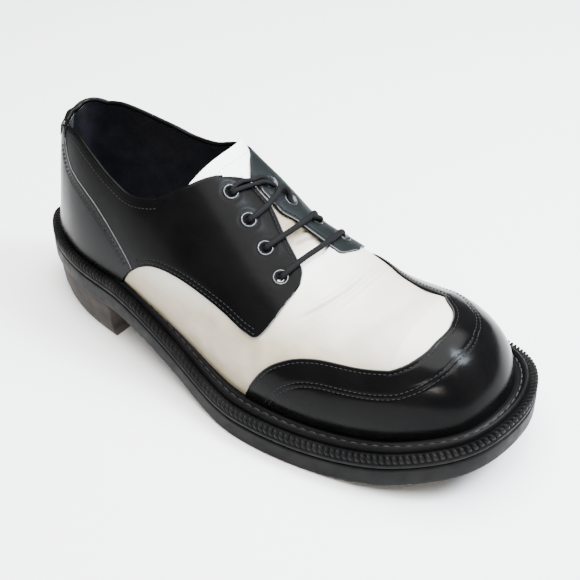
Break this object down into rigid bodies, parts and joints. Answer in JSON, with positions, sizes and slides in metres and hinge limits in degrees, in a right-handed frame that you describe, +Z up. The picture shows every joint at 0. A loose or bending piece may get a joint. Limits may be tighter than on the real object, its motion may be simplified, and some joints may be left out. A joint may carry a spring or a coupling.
{
  "type": "platform oxford shoe",
  "caption": "Low laced leather shoe with a smooth toe cap, open facings over a tongue, a ribbed platform sole and a block heel.",
  "frame": {"origin": "on the floor under the middle of the shoe's bounding box", "axes": "+X from heel to toe, +Y to the inner side of the foot, +Z up"},
  "size_m": [0.3, 0.1239, 0.1129],
  "materials": {
    "heel_block": "matt, dusty brownish black",
    "sole_rubber": "satin black",
    "lining": "matt dark navy",
    "white_leather": "satin warm white, creased",
    "black_leather": "polished black",
    "eyelet_metal": "dark, satin",
    "lace": "braided black cotton"
  },
  "bodies": {
    "root": {"heel": "heel_block", "outsole": "sole_rubber", "midsole": "sole_rubber", "welt": "sole_rubber", "insole": "lining", "upper": "white_leather", "tongue": "white_leather", "toe_cap": "black_leather", "heel_counter": "black_leather", "back_tab": "black_leather", "quarter_outer": "black_leather", "eyelet_outer_1": "eyelet_metal", "eyelet_outer_2": "eyelet_metal", "eyelet_outer_3": "eyelet_metal", "eyelet_outer_4": "eyelet_metal", "quarter_inner": "black_leather", "eyelet_inner_1": "eyelet_metal", "eyelet_inner_2": "eyelet_metal", "eyelet_inner_3": "eyelet_metal", "eyelet_inner_4": "eyelet_metal", "lace_bar_1": "lace", "lace_bar_2": "lace", "lace_bar_3": "lace", "lace_bar_4": "lace"}
  },
  "joints": []
}
